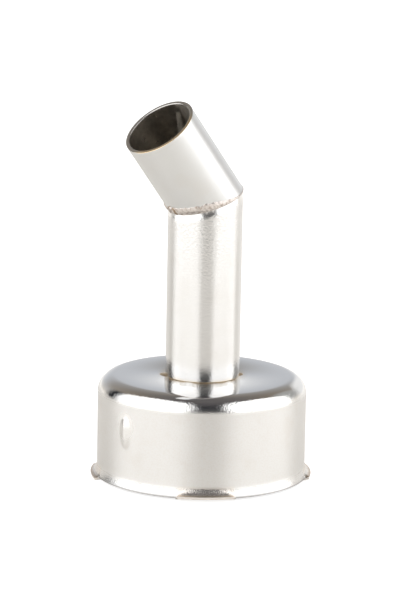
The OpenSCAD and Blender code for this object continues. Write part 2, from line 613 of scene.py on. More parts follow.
@dataclass(frozen=True)
class WeldBead(Finish):
    """Rough weld under thin plating."""

    pit: Colour = (0.30, 0.22, 0.17)
    pit_span: Span = (0.5, 0.66)
    pit_share: float = 0.62
    coarse: float = 0.06 * MM
    coarse_scale: float = 2400.0
    fine: float = 0.012 * MM
    fine_scale: float = 5200.0
    fine_roughness: float = 0.2

    def surface(self, graph: Graph, place: Wire) -> Surface:
        """Varies with pits and a coarse grain.

        Args:
            graph: The material's graph.
            place: Object coordinates.

        Returns:
            The colour, roughness and relief.
        """
        coarse = graph.grain(place, self.coarse_scale, detail=3.0, rough=0.6)
        fine = graph.grain(place, self.fine_scale)
        pits = coarse.eased(*self.pit_span) * self.pit_share
        colour = graph.mix(pits, rgba(self.colour), rgba(self.pit))
        roughness = self.roughness + (fine - GRAIN_MIDDLE) * self.fine_roughness
        return Surface(colour, roughness, coarse * self.coarse + fine * self.fine)


@dataclass(frozen=True)
class BrazeGold(Finish):
    """Brazing alloy: golden, browner where flux burnt on."""

    burnt: Colour = (0.24, 0.15, 0.08)
    burnt_span: Span = (0.46, 0.7)
    burnt_share: float = 0.4
    burnt_roughness: float = 0.2
    flux_scale: float = 900.0
    flux_height: float = 0.015 * MM

    def surface(self, graph: Graph, place: Wire) -> Surface:
        """Varies with burnt flux and a soft ripple.

        Args:
            graph: The material's graph.
            place: Object coordinates.

        Returns:
            The colour, roughness and relief.
        """
        flux = graph.grain(place, self.flux_scale, detail=3.0, rough=0.6)
        burnt = flux.eased(*self.burnt_span)
        colour = graph.mix(burnt * self.burnt_share, rgba(self.colour), rgba(self.burnt))
        roughness = self.roughness + burnt * self.burnt_roughness
        return Surface(colour, roughness, flux * self.flux_height)


# Meshes

class MeshWork:
    """A bmesh that is shaped step by step and ends as one piece."""

    def __init__(self) -> None:
        """Starts empty."""
        self.bm = bmesh.new()

    def wire(self, corners: Sequence[Span], closed: bool = False) -> List[Any]:
        """Draws a half section in the XZ plane.

        Args:
            corners: Radius and height of each corner, in order.
            closed: Whether the last corner joins the first.

        Returns:
            The section's vertices.
        """
        verts = [self.bm.verts.new((radius, 0.0, height)) for radius, height in corners]
        ends = verts[1:] + verts[:1] if closed else verts[1:]
        for start, end in zip(verts, ends):
            self.bm.edges.new((start, end))
        return verts

    def round_corner(self, vert: Any, reach: float, segments: int) -> None:
        """Turns a corner of a section into an arc that starts at reach from it."""
        self._bevel([vert], reach, segments, "VERTICES", False)

    def break_edges(self, reach: float, segments: int) -> None:
        """Rounds every edge that is sharper than the sharp angle."""
        sharp = [edge for edge in self.bm.edges if edge.calc_face_angle(0.0) > SHARP_ANGLE]
        self._bevel(sharp, reach, segments, "EDGES", True)

    def _bevel(
        self, geom: Sequence[Any], reach: float, segments: int, affect: str, clamp: bool,
    ) -> None:
        """Rounds vertices or edges.

        Args:
            geom: What to round.
            reach: How far from it the rounding starts.
            segments: Steps of the rounding.
            affect: VERTICES or EDGES.
            clamp: Whether roundings stop where they meet.
        """
        bmesh.ops.bevel(
            self.bm, geom=geom, offset=reach, offset_type="OFFSET", segments=segments,
            profile=0.5, affect=affect, material=-1, clamp_overlap=clamp,
        )

    def divide(self, longest: float) -> None:
        """Cuts each edge of a section into even steps.

        Args:
            longest: Length that no step goes over.
        """
        for edge in self.bm.edges[:]:
            cuts = math.ceil(edge.calc_length() / longest - ROUNDING) - 1
            if cuts > 0:
                bmesh.ops.subdivide_edges(self.bm, edges=[edge], cuts=cuts)

    def revolve(self, steps: int) -> None:
        """Spins the section about the Z axis into a closed skin that faces outwards.

        Args:
            steps: Columns of faces around the axis.
        """
        bmesh.ops.spin(
            self.bm, geom=self.bm.verts[:] + self.bm.edges[:], cent=ORIGIN, axis=UP,
            angle=math.tau, steps=steps, use_merge=True, use_duplicate=False,
        )
        bmesh.ops.remove_doubles(self.bm, verts=self.bm.verts[:], dist=MERGE_DISTANCE)
        bmesh.ops.recalc_face_normals(self.bm, faces=self.bm.faces[:])

    def move(self, rule: Callable[[Vector], Vector]) -> None:
        """Moves every vertex to where a rule puts it."""
        for vert in self.bm.verts:
            vert.co = rule(vert.co)

    def thicken(self, sheet: float) -> None:
        """Gives a skin its thickness on the inside."""
        self.bm.normal_update()
        bmesh.ops.solidify(self.bm, geom=self.bm.faces[:], thickness=sheet)

    def cut(self, point: Vector, normal: Vector) -> None:
        """Cuts off a tube and closes its wall there.

        Args:
            point: A point of the plane to cut at.
            normal: The plane's normal, towards the side that goes.
        """
        geom = self.bm.verts[:] + self.bm.edges[:] + self.bm.faces[:]
        bmesh.ops.bisect_plane(
            self.bm, geom=geom, dist=MERGE_DISTANCE, plane_co=point, plane_no=normal,
            clear_outer=True,
        )
        open_edges = [edge for edge in self.bm.edges if edge.is_boundary]
        bmesh.ops.bridge_loops(self.bm, edges=open_edges)
        bmesh.ops.recalc_face_normals(self.bm, faces=self.bm.faces[:])

    def turn(self, matrix: Matrix) -> None:
        """Puts the mesh in its place."""
        bmesh.ops.transform(self.bm, matrix=matrix, verts=self.bm.verts[:])

    def mesh(self, name: str) -> bpy.types.Mesh:
        """Ends the work as a mesh.

        Args:
            name: The mesh's name.

        Returns:
            The new mesh.
        """
        mesh = bpy.data.meshes.new(name)
        self.bm.to_mesh(mesh)
        self.bm.free()
        return mesh

    def piece(
        self,
        name: str,
        finishes: Sequence[Finish],
        choose: Optional[Callable[[Any], int]] = None,
    ) -> bpy.types.Object:
        """Ends the work as an object at the origin.

        Args:
            name: The piece's name.
            finishes: Its finishes, in order.
            choose: Gives a face's finish by number, or None for one finish.

        Returns:
            The finished object.
        """
        self.bm.normal_update()
        for face in self.bm.faces:
            face.smooth = True
            face.material_index = choose(face) if choose else 0
        mesh = self.mesh(name)
        for finish in finishes:
            mesh.materials.append(finish.material())
        mesh.set_sharp_from_angle(angle=SHARP_ANGLE)
        return new_object(name, mesh)


def seat(piece: bpy.types.Object, node: Node) -> bpy.types.Object:
    """Rides a piece on the nozzle's body in place of a solid.

    Args:
        piece: The finished piece.
        node: The solid that it stands for.

    Returns:
        The same piece.
    """
    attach(piece, "root")
    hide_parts(node.value)
    return piece


# The nozzle

@dataclass(frozen=True)
class NozzleFrame:
    """Main sizes, from the solids' boxes and the record's mounts."""

    lug_radius: float
    cup_height: float
    sheet: float
    wall_radius: float
    tube_radius: float
    bore_radius: float
    stem_foot: float
    mitre: Vector
    tip_axis: Vector
    tip_length: float

    @classmethod
    def read(cls, record: Dict[str, Any]) -> "NozzleFrame":
        """Reads the sizes.

        Args:
            record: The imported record.

        Returns:
            The nozzle's main sizes.
        """
        mounts = {mount["name"]: mount for mount in record["mounts"]}
        outlet = mounts["air_outlet"]
        axis = Vector(outlet["axis"]).normalized()
        middle = Vector(outlet["pos_m"])
        mitre_height = middle.z - axis.z * middle.x / axis.x
        _, cup_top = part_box(Node.CUP.value)
        stem_low, stem_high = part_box(Node.STEM.value)
        _, tip_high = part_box(Node.TIP.value)
        sheet = cup_top.z - stem_low.z
        tube_radius = stem_high.x
        lean = math.hypot(axis.x, axis.y)
        return cls(
            lug_radius=cup_top.x,
            cup_height=cup_top.z,
            sheet=sheet,
            wall_radius=mounts["heater_socket"]["dims"]["r_mm"] * MM + sheet,
            tube_radius=tube_radius,
            bore_radius=outlet["dims"]["r_mm"] * MM,
            stem_foot=stem_low.z,
            mitre=UP * mitre_height,
            tip_axis=axis,
            tip_length=(tip_high.z - mitre_height - tube_radius * lean) / axis.z,
        )

    @property
    def mid_wall(self) -> float:
        """Radius of the middle of the tubes' wall."""
        return (self.tube_radius + self.bore_radius) / 2.0

    @property
    def bend(self) -> float:
        """Angle between the tip and the stem, in radians."""
        return self.tip_axis.angle(UP)

    @property
    def mitre_normal(self) -> Vector:
        """Normal of the mitre plane, on the tip's side."""
        return (self.tip_axis + UP).normalized()


@dataclass
class BayonetCup:
    """Pressed sheet cup with a round shoulder, a flared lip, lugs and a pip.

    The lifts are the heights of the undersides of the front, right, back and left lug.
    """

    frame: NozzleFrame
    shoulder: float = 2.7 * MM
    shoulder_steps: int = 16
    hole_gap: float = 0.01 * MM
    lip_height: float = 1.9 * MM
    lip_lift: float = 0.5 * MM
    lip_flare: float = 0.4 * MM
    lug_lifts: Tuple[float, ...] = (0.45 * MM, 0.3 * MM, 0.0, 0.0)
    lug_angle: float = 31.0
    lug_bend: float = 1.3 * MM
    lug_end: float = 0.6
    lug_scoop: float = 6.0
    lug_soften: float = 0.8
    sheared_spare: float = 0.1 * MM
    sheared_depth: float = 0.15 * MM
    sheared_end: float = 0.35
    sheared_side: float = 0.6
    pip_width: float = 2.3 * MM
    pip_straight: float = 1.2 * MM
    pip_stretch: float = 1.8
    pip_proud: float = 0.3 * MM
    pip_height: float = 9.6 * MM
    pip_bearing: float = -48.4
    pip_foot: float = 0.04 * MM
    row: float = 0.28 * MM
    rim_row: float = 0.12 * MM
    columns: int = 560
    edge_round: float = 0.06 * MM
    edge_steps: int = 2

    def build(self) -> bpy.types.Object:
        """Presses the cup: draws the skin, turns out the rim and thickens it.

        Returns:
            The finished piece.
        """
        work = MeshWork()
        wall = self.frame.wall_radius
        top = self.frame.cup_height
        straight = top - self.shoulder - self.row
        work.wire([(wall, self.rim_top), (wall, 0.0)])
        work.divide(self.rim_row)
        work.wire([(wall, straight), (wall, self.rim_top)])
        work.divide(self.row)
        corners = work.wire([
            (self.frame.tube_radius + self.hole_gap, top), (wall, top), (wall, straight),
        ])
        work.round_corner(corners[1], self.shoulder, self.shoulder_steps)
        work.revolve(self.columns)
        work.move(self._press)
        work.thicken(self.frame.sheet)
        work.move(lambda point: Vector((point.x, point.y, max(0.0, point.z))))
        work.break_edges(self.edge_round, self.edge_steps)
        pip_top = self.pip_height + self.pip_width / 2.0
        plate = PressedPlate(
            "plated pressed sheet", colour=(0.752, 0.747, 0.737), roughness=0.4,
            top=top, shoulder=top - self.shoulder, lip=self.rim_top, lip_edge=self.lip_lift,
            lip_radius=wall + self.lip_flare, stem_radius=self.frame.tube_radius,
            lug_count=float(len(self.lug_lifts)),
            pip=tuple(towards(self.pip_bearing) * wall + UP * pip_top),
        )
        edge = SheetEdge(
            "sheared sheet edge", colour=(0.82, 0.775, 0.735), roughness=0.5, metallic=0.2,
        )
        return seat(work.piece("cup_shell", [plate, edge], self._is_sheared), Node.CUP)

    def _is_sheared(self, face: Any) -> int:
        """Tells the end and side faces of the lugs from the rest.

        Args:
            face: A face of the cup.

        Returns:
            1 on a lug's end or side and 0 elsewhere.
        """
        centre = face.calc_center_median()
        radius = math.hypot(centre.x, centre.y)
        along = towards(bearing_of(centre) + 90.0)
        lift, _ = self._nearest_lug(bearing_of(centre), 1.0)
        end_top = lift + self.frame.sheet + self.sheared_spare
        if centre.z > end_top or radius < self.frame.wall_radius + self.lip_flare:
            return 0
        upright = abs(face.normal.z) < self.sheared_end
        end = upright and radius > self.frame.lug_radius - self.sheared_depth
        return int(end or abs(face.normal.dot(along)) > self.sheared_side)

    @property
    def rim_top(self) -> float:
        """Height at which the wall starts to turn out."""
        return self.lip_lift + self.lip_height

    @property
    def lip_arc(self) -> float:
        """Radius of the arc in which the lip flares out."""
        return (self.lip_height ** 2 + self.lip_flare ** 2) / (2.0 * self.lip_flare)

    def _lip_point(self, share: float) -> Span:
        """Follows the flared lip.

        Args:
            share: Share of the lip's length, from the wall to its edge.

        Returns:
            The radius and the height.
        """
        turn = share * math.asin(self.lip_height / self.lip_arc)
        height = self.rim_top - self.lip_arc * math.sin(turn)
        return self._lip_radius(height), height

    def _lip_radius(self, height: float) -> float:
        """Finds the flared lip's radius.

        Args:
            height: Height on the lip.

        Returns:
            The radius there, or 0 below the lip's edge.
        """
        below = self.rim_top - height
        if below > self.lip_height + MERGE_DISTANCE:
            return 0.0
        return self.frame.wall_radius + self.lip_arc - math.sqrt(self.lip_arc ** 2 - below ** 2)

    def _lug_point(self, share: float, lift: float) -> Span:
        """Follows a lug's upper face, which may end before its bend is level.

        Args:
            share: Share of the lug's length, from the wall to its end.
            lift: Height of the lug's underside.

        Returns:
            The radius and the height.
        """
        wall = self.frame.wall_radius
        bend_top = lift + self.frame.sheet + self.lug_bend
        drop = self.rim_top - bend_top
        around = self.lug_bend * math.pi / 2.0
        flat = self.frame.lug_radius - wall - self.lug_bend
        run = share * (drop + around + flat)
        if run < drop:
            return self._lip_radius(self.rim_top - run), self.rim_top - run
        turn = min(run - drop, around) / self.lug_bend
        past = max(0.0, run - drop - around)
        radius = wall + self.lug_bend * (1.0 - math.cos(turn)) + past
        height = bend_top - self.lug_bend * math.sin(turn)
        return max(radius, self._lip_radius(height)), height

    def _nearest_lug(self, bearing: float, along: float) -> Span:
        """Finds the lug next to a bearing.

        Args:
            bearing: Bearing on the rim.
            along: Share of the lug's length. A lug is narrower and softer near the wall.

        Returns:
            The height of the lug's underside, and a share that is 1 on the lug and 0 on the plain
            lip, with ramps at the lug's ends.
        """
        pitch = 360.0 / len(self.lug_lifts)
        number = round(bearing / pitch)
        away = abs(turn_between(bearing, number * pitch))
        scoop = self.lug_scoop * (1.0 - along)
        half = self.lug_angle / 2.0 - scoop
        ramp = self.lug_end + self.lug_soften * scoop
        share = smoothstep(half + ramp, half - ramp, away)
        return self.lug_lifts[number % len(self.lug_lifts)], share

    def _pip_lift(self, bearing: float, height: float) -> float:
        """Shapes the pip.

        Args:
            bearing: Bearing on the wall.
            height: Height on the wall.

        Returns:
            How far the pip stands out from the wall there.
        """
        wall = self.frame.wall_radius
        half = self.pip_width / 2.0
        sag = self.pip_proud + half * half / (2.0 * wall)
        arc = (half * half + sag * sag) / (2.0 * sag)
        across = math.radians(turn_between(bearing, self.pip_bearing)) * wall
        along = max(0.0, abs(height - self.pip_height) - self.pip_straight / 2.0) / self.pip_stretch
        inside = arc * arc - across * across - along * along
        if inside <= 0.0:
            return 0.0
        lift = self.pip_proud - arc + math.sqrt(inside) + across * across / (2.0 * wall)
        return (lift + math.hypot(lift, self.pip_foot)) / 2.0

    def _press(self, point: Vector) -> Vector:
        """Presses the plain skin.

        Args:
            point: A point of the plain skin.

        Returns:
            Where the press leaves it.
        """
        radius = math.hypot(point.x, point.y)
        bearing = bearing_of(point)
        height = point.z
        if height < self.rim_top - MERGE_DISTANCE:
            share = 1.0 - height / self.rim_top
            lip_radius, lip_height = self._lip_point(share)
            lift, on_lug = self._nearest_lug(bearing, share)
            lug_radius, lug_height = self._lug_point(share, lift)
            radius = lerp(lip_radius, lug_radius, on_lug)
            height = lerp(lip_height, lug_height, on_lug)
        elif height < self.frame.cup_height - self.shoulder:
            radius += self._pip_lift(bearing, height)
        return towards(bearing) * radius + UP * height


@dataclass
class Tube:
    """Thin tube about the Z axis, before it is cut and put in its place.

    A row is the longest step along the tube.
    """

    outer: float
    bore: float
    low: float
    high: float
    row: float
    columns: int = 256
    mouth_round: float = 0.0
    mouth_ease: float = 0.0
    mouth_steps: Tuple[int, int] = (4, 5)
    seam_bearing: Optional[float] = None
    seam_twist: float = 0.0
    seam_height: float = 0.13 * MM
    seam_width: float = 7.0
    seam_crest: float = 0.3
    seam_margin: float = 2.0

    def work(self) -> MeshWork:
        """Spins the tube's wall.

        Returns:
            The wall, ready for cutting.
        """
        work = MeshWork()
        corners = work.wire(
            [(self.outer, self.low), (self.outer, self.high),
             (self.bore, self.high), (self.bore, self.low)],
            closed=True,
        )
        if self.mouth_round:
            work.round_corner(corners[1], self.mouth_round, self.mouth_steps[0])
            work.round_corner(corners[2], self.mouth_ease, self.mouth_steps[1])
        work.divide(self.row)
        work.revolve(self.columns)
        if self.seam_bearing is not None:
            work.move(self._raise_seam)
        return work

    def _raise_seam(self, point: Vector) -> Vector:
        """Raises the weld seam that runs along inside the tube.

        Args:
            point: A point of the wall.

        Returns:
            The point, moved inwards on the seam.
        """
        radius = math.hypot(point.x, point.y)
        seam_top = self.high - self.seam_margin * self.mouth_ease
        if radius > self.bore + MERGE_DISTANCE or point.z > seam_top:
            return point
        seam = self.seam_bearing + self.seam_twist * (self.high - point.z)
        away = abs(turn_between(bearing_of(point), seam))
        crest = self.seam_crest * self.seam_width
        share = 1.0 - self.seam_height * smoothstep(self.seam_width, crest, away) / radius
        return Vector((point.x * share, point.y * share, point.z))


@dataclass
class StemTube:
    """Straight tube from the cup to the mitre, drawn in a little under the weld."""

    frame: NozzleFrame
    spare: float = 3.0 * MM
    row: float = 0.3 * MM
    neck: float = 0.1 * MM
    neck_reach: float = 0.9 * MM
    coarse_from: float = 28.0 * MM

    def build(self) -> bpy.types.Object:
        """Spins the tube, cuts it at the mitre and draws in its end.

        Returns:
            The finished piece.
        """
        frame = self.frame
        work = Tube(
            frame.tube_radius, frame.bore_radius, frame.stem_foot, frame.mitre.z + self.spare,
            self.row,
        ).work()
        work.cut(frame.mitre, frame.mitre_normal)
        work.move(self._draw_in)
        finishes = [
            DrawnTube(
                "plated stem", colour=(0.753, 0.749, 0.743), roughness=0.19,
                axis_scale=(1.0, 1.0, 0.8), peel=0.03 * MM,
                coarse_span=(self.coarse_from, frame.mitre.z), weld_normal=tuple(frame.mitre_normal),
                weld_offset=frame.mitre.dot(frame.mitre_normal),
            ),
            BurntBore("darkened stem bore", colour=(0.70, 0.65, 0.58), roughness=0.35),
        ]
        return seat(work.piece("stem_skin", finishes, self._side), Node.STEM)

    def _side(self, face: Any) -> int:
        """Returns 1 inside the tube and 0 outside."""
        centre = face.calc_center_median()
        return int(math.hypot(centre.x, centre.y) < self.frame.mid_wall)

    def _draw_in(self, point: Vector) -> Vector:
        """Draws the tube in where the weld's heat did.

        Args:
            point: A point of the tube.

        Returns:
            The point, moved inwards on the outer face under the weld.
        """
        radius = math.hypot(point.x, point.y)
        if radius < self.frame.tube_radius - MERGE_DISTANCE:
            return point
        below = (self.frame.mitre - point).dot(self.frame.mitre_normal)
        share = 1.0 - self.neck / radius * smoothstep(self.neck_reach, 0.0, below)
        return Vector((point.x * share, point.y * share, point.z))


@dataclass
class TipTube:
    """Mitred tube that aims the air. Its bearings are taken before it leans over."""

    frame: NozzleFrame
    spare: float = 3.0 * MM
    row: float = 0.5 * MM
    mouth_round: float = 0.08 * MM
    mouth_ease: float = 0.15 * MM
    seam_bearing: float = 136.0
    seam_twist: float = 4700.0
    seam_half: float = 4.5
    seam_start: float = 1.6 * MM
    paler_bearing: float = 100.0
    golden_bearing: float = 10.0

    def build(self) -> bpy.types.Object:
        """Spins the tube, leans it over and cuts it at the mitre.

        Returns:
            The finished piece.
        """
        frame = self.frame
        work = Tube(
            frame.tube_radius, frame.bore_radius, -self.spare, frame.tip_length, self.row,
            mouth_round=self.mouth_round, mouth_ease=self.mouth_ease,
            seam_bearing=self.seam_bearing, seam_twist=self.seam_twist,
        ).work()
        lean = self._lean
        work.turn(Matrix.Translation(frame.mitre) @ lean)
        work.cut(frame.mitre, -frame.mitre_normal)
        middle = tuple(frame.mitre)
        finishes = [
            DrawnTube(
                "satin plated tip", colour=(0.70, 0.705, 0.705), roughness=0.32,
                axis_scale=(1.0, 1.0, 1.0),
            ),
            BurntBore(
                "darkened tip bore", colour=(0.70, 0.66, 0.60), roughness=0.3, middle=middle,
                paler_towards=tuple(lean @ towards(self.paler_bearing)),
            ),
            MouthEdge(
                "heated mouth edge", colour=(0.62, 0.61, 0.59), roughness=0.16, middle=middle,
                golden_side=tuple(lean @ towards(self.golden_bearing)),
            ),
            DrawnTube("bore seam", colour=(0.78, 0.73, 0.66), roughness=0.5),
        ]
        return seat(work.piece("tip_skin", finishes, self._side), Node.TIP)

    @property
    def _lean(self) -> Matrix:
        """Turn that leans the tube over."""
        return UP.rotation_difference(self.frame.tip_axis).to_matrix().to_4x4()

    def _side(self, face: Any) -> TipSide:
        """Tells the tube's surfaces apart.

        Args:
            face: A face of the tube in its place.

        Returns:
            The surface that the face belongs to.
        """
        offset = face.calc_center_median() - self.frame.mitre
        along = offset.dot(self.frame.tip_axis)
        inside = (offset - self.frame.tip_axis * along).length < self.frame.mid_wall
        depth = self.frame.tip_length - along
        if depth < (self.mouth_ease if inside else self.mouth_round):
            return TipSide.MOUTH
        if not inside:
            return TipSide.OUTSIDE
        seam = self.seam_bearing + self.seam_twist * depth
        turn = turn_between(bearing_of(self._lean.inverted() @ offset), seam)
        on_seam = depth > self.seam_start and abs(turn) < self.seam_half
        return TipSide.SEAM if on_seam else TipSide.BORE


@dataclass
class MitreWeld:
    """Bead of weld around the mitre, laid towards the tip on the inside of the bend.

    Pairs of reaches and heights are for the thin and the wide part of the bead. Turns are counted
    about the seam from the inside of the bend.
    """

    frame: NozzleFrame
    tip_reach: Span = (0.22 * MM, 1.5 * MM)
    stem_reach: Span = (0.2 * MM, 0.06 * MM)
    proud: Span = (0.06 * MM, 0.18 * MM)
    depth: float = 0.3 * MM
    wide_turn: float = 12.0
    wide_span: Span = (45.0, 112.0)
    crater_turn: float = -1.0
    crater_side: float = 0.5 * MM
    crater_radius: float = 0.6 * MM
    crater_stretch: float = 1.5
    crater_height: float = 0.18 * MM
    crater_ring: float = 0.35
    crater_dip: float = 0.4
    crater_core: float = 0.5
    burnt_span: Span = (1.1, 1.55)
    columns: int = 360
    section_steps: int = 28
    skin: float = 0.1 * MM
    waver: float = 0.12
    waver_scales: Span = (9.0, 23.0)
    ripple: float = 0.07 * MM
    ripple_scale: float = 26.0
    ripple_across: float = 3.0 / MM
    ripple_finer: float = 2.3
    ripple_thin: float = 0.3
    second_share: float = 0.6

    def build(self) -> bpy.types.Object:
        """Spins an oval section, lays it along the seam and roughens it.

        Returns:
            The finished piece.
        """
        work = MeshWork()
        upright = Matrix.Rotation(math.pi / 2.0, 4, "X")
        bmesh.ops.create_circle(
            work.bm, cap_ends=False, radius=1.0, segments=self.section_steps, matrix=upright,
        )
        oval = Matrix.Diagonal((self.depth, 1.0, MM, 1.0))
        shift = Matrix.Translation((self.frame.tube_radius - self.depth, 0.0, 0.0))
        work.turn(shift @ oval)
        work.revolve(self.columns)
        work.move(self._lay)
        work.turn(Matrix.Translation(self.frame.mitre) @ self._place)
        finishes = [
            WeldBead("weld bead", colour=(0.70, 0.652, 0.618), roughness=0.36),
            WeldBead("burnt crater edge", colour=(0.42, 0.33, 0.25), roughness=0.5),
        ]
        return seat(work.piece("weld_bead", finishes, self._burnt), Node.WELD)

    @property
    def _place(self) -> Matrix:
        """Turn that puts X on the inside of the bend and Z on the mitre's normal."""
        normal = self.frame.mitre_normal
        lean = towards(bearing_of(self.frame.tip_axis))
        inner = (lean - normal * lean.dot(normal)).normalized()
        return axes(inner, normal.cross(inner), normal)

    def _burnt(self, face: Any) -> int:
        """Tells the crater's burnt edge from the rest.

        Args:
            face: A face of the bead in its place.

        Returns:
            1 around the crater and 0 elsewhere.
        """
        spot = self._place.inverted() @ (face.calc_center_median() - self.frame.mitre)
        turn = math.atan2(spot.y, spot.x * math.cos(self.frame.bend / 2.0))
        return int(self.burnt_span[0] < self._crater_away(turn, spot.z) < self.burnt_span[1])

    def _width_share(self, turn: float) -> float:
        """Returns 1 where the bead is wide, on the inside of the bend, and 0 where it is thin."""
        away = abs(turn_between(math.degrees(turn), self.wide_turn))
        return smoothstep(self.wide_span[1], self.wide_span[0], away)

    def _crater_away(self, turn: float, side: float) -> float:
        """Returns how far a spot is from the crater's middle, in radii of the crater."""
        across = (turn - math.radians(self.crater_turn)) * self.frame.tube_radius
        return math.hypot(across, (side - self.crater_side) / self.crater_stretch) / self.crater_radius

    def _crater(self, turn: float, side: float) -> float:
        """Shapes the ring that was left where the weld ended.

        Args:
            turn: Turn about the seam, in radians.
            side: Distance from the mitre plane, positive on the tip's side.

        Returns:
            The ring's height there.
        """
        away = self._crater_away(turn, side)
        ring = math.exp(-((away - 1.0) / self.crater_ring) ** 2)
        return self.crater_height * (ring - self.crater_dip * math.exp(-(away / self.crater_core) ** 2))

    def _lay(self, point: Vector) -> Vector:
        """Lays the spun bead along the seam of the two tubes.

        Args:
            point: A point of the spun bead, 1 mm high for half of the bead's width.

        Returns:
            Its place on the seam.
        """
        turn = math.atan2(point.y, point.x)
        wide = self._width_share(turn)
        around = Vector((math.cos(turn), math.sin(turn), 0.0))
        slow, quick = (noise.noise(around * scale) for scale in self.waver_scales)
        wander = self.waver * (slow + self.second_share * quick)
        high = lerp(*self.tip_reach, wide) * (1.0 + wander)
        low = -lerp(*self.stem_reach, wide) * (1.0 - wander)
        side = (high + low) / 2.0 + point.z / MM * (high - low) / 2.0
        lift = math.hypot(point.x, point.y) - self.frame.tube_radius + lerp(*self.proud, wide)
        spot = around * self.ripple_scale + UP * (side * self.ripple_across)
        rough = noise.noise(spot) + self.second_share * noise.noise(spot * self.ripple_finer)
        rough *= self.ripple * lerp(self.ripple_thin, 1.0, wide)
        lift += smoothstep(-self.skin, self.skin, lift) * (rough + self._crater(turn, side))
        radius = self.frame.tube_radius + lift
        half = self.frame.bend / 2.0
        along = radius * math.cos(turn) / math.cos(half) + abs(side) * math.tan(half)
        return Vector((along, radius * math.sin(turn), side))


@dataclass
class BrazeRing:
    """Fillet of braze around the foot of the stem, with a pool on each side.

    A pool has a bearing and a reach.
    """

    frame: NozzleFrame
    leg: float = 0.125 * MM
    rise: float = 0.75
    hollow: float = 0.4
    uneven: float = 0.15
    uneven_scale: float = 4.0
    pools: Tuple[Span, ...] = ((-88.0, 1.0 * MM), (92.0, 0.65 * MM))
    pool_height: float = 0.16 * MM
    pool_spread: float = 14.0
    pool_core: float = 3.5
    columns: int = 560
    section_steps: int = 10
    sunk: float = 0.04 * MM

    def build(self) -> bpy.types.Object:
        """Spins a quarter round section and flows it around the stem.

        Returns:
            The finished piece.
        """
        work = MeshWork()
        radius, height = self._root
        root, foot = work.wire([(radius, height), (radius + self.leg, height)])
        bmesh.ops.spin(
            work.bm, geom=[foot], cent=root.co, axis=(0.0, -1.0, 0.0), angle=math.pi / 2.0,
            steps=self.section_steps, use_merge=False, use_duplicate=False,
        )
        crest = max(work.bm.verts, key=lambda vert: vert.co.z)
        work.bm.edges.new((crest, root))
        work.revolve(self.columns)
        work.move(self._flow)
        finish = BrazeGold("golden braze", colour=(0.72, 0.57, 0.38), roughness=0.3)
        return seat(work.piece("braze_fillet", [finish]), Node.BRAZE)

    @property
    def _root(self) -> Span:
        """Radius and height of the fillet's hidden corner."""
        return self.frame.tube_radius - self.sunk, self.frame.cup_height - self.sunk

    def _flow(self, point: Vector) -> Vector:
        """Flows the quarter round out into the pools.

        Args:
            point: A point of the quarter round.

        Returns:
            Its place on the braze.
        """
        bearing = bearing_of(point)
        root_radius, root_height = self._root
        out = math.hypot(point.x, point.y) - root_radius
        up = point.z - root_height
        if math.hypot(out, up) < MERGE_DISTANCE:
            return point
        turn = math.atan2(up, out)
        around = towards(bearing)
        uneven = 1.0 + self.uneven * noise.noise(around * self.uneven_scale)
        hollow = self.leg * uneven * (1.0 - self.hollow * math.sin(2.0 * turn))
        reach, height = hollow, self.rise * hollow
        for pool, far in self.pools:
            away = abs(turn_between(bearing, pool))
            share = smoothstep(self.pool_spread, self.pool_core, away)
            reach = lerp(reach, far, share)
            height = lerp(height, self.pool_height, share)
        radius = root_radius + reach * math.cos(turn)
        return around * radius + UP * (root_height + height * math.sin(turn))


# The studio

@dataclass(frozen=True)
class Softbox:
    """A big oval soft light that stands at the floor's edge and leans towards the nozzle."""

    name: str
    bearing: float
    distance: float
    rise: float
    width: float
    height: float
    lean: float
    radiance: float

    def build(self) -> None:
        """Makes the light. It shows in the metal and not to the camera."""
        lamp = bpy.data.lights.new(self.name, "AREA")
        lamp.shape = "ELLIPSE"
        lamp.size = self.width
        lamp.size_y = self.height
        area = math.pi / 4.0 * self.width * self.height
        lamp.energy = self.radiance * math.pi * area
        back = sloping(self.bearing, self.lean)
        up = sloping(self.bearing, self.lean + 90.0)
        centre = towards(self.bearing) * self.distance + up * self.rise
        made = new_object(self.name, lamp)
        made.matrix_world = Matrix.Translation(centre) @ axes(up.cross(back), up, back)
        made.visible_camera = False


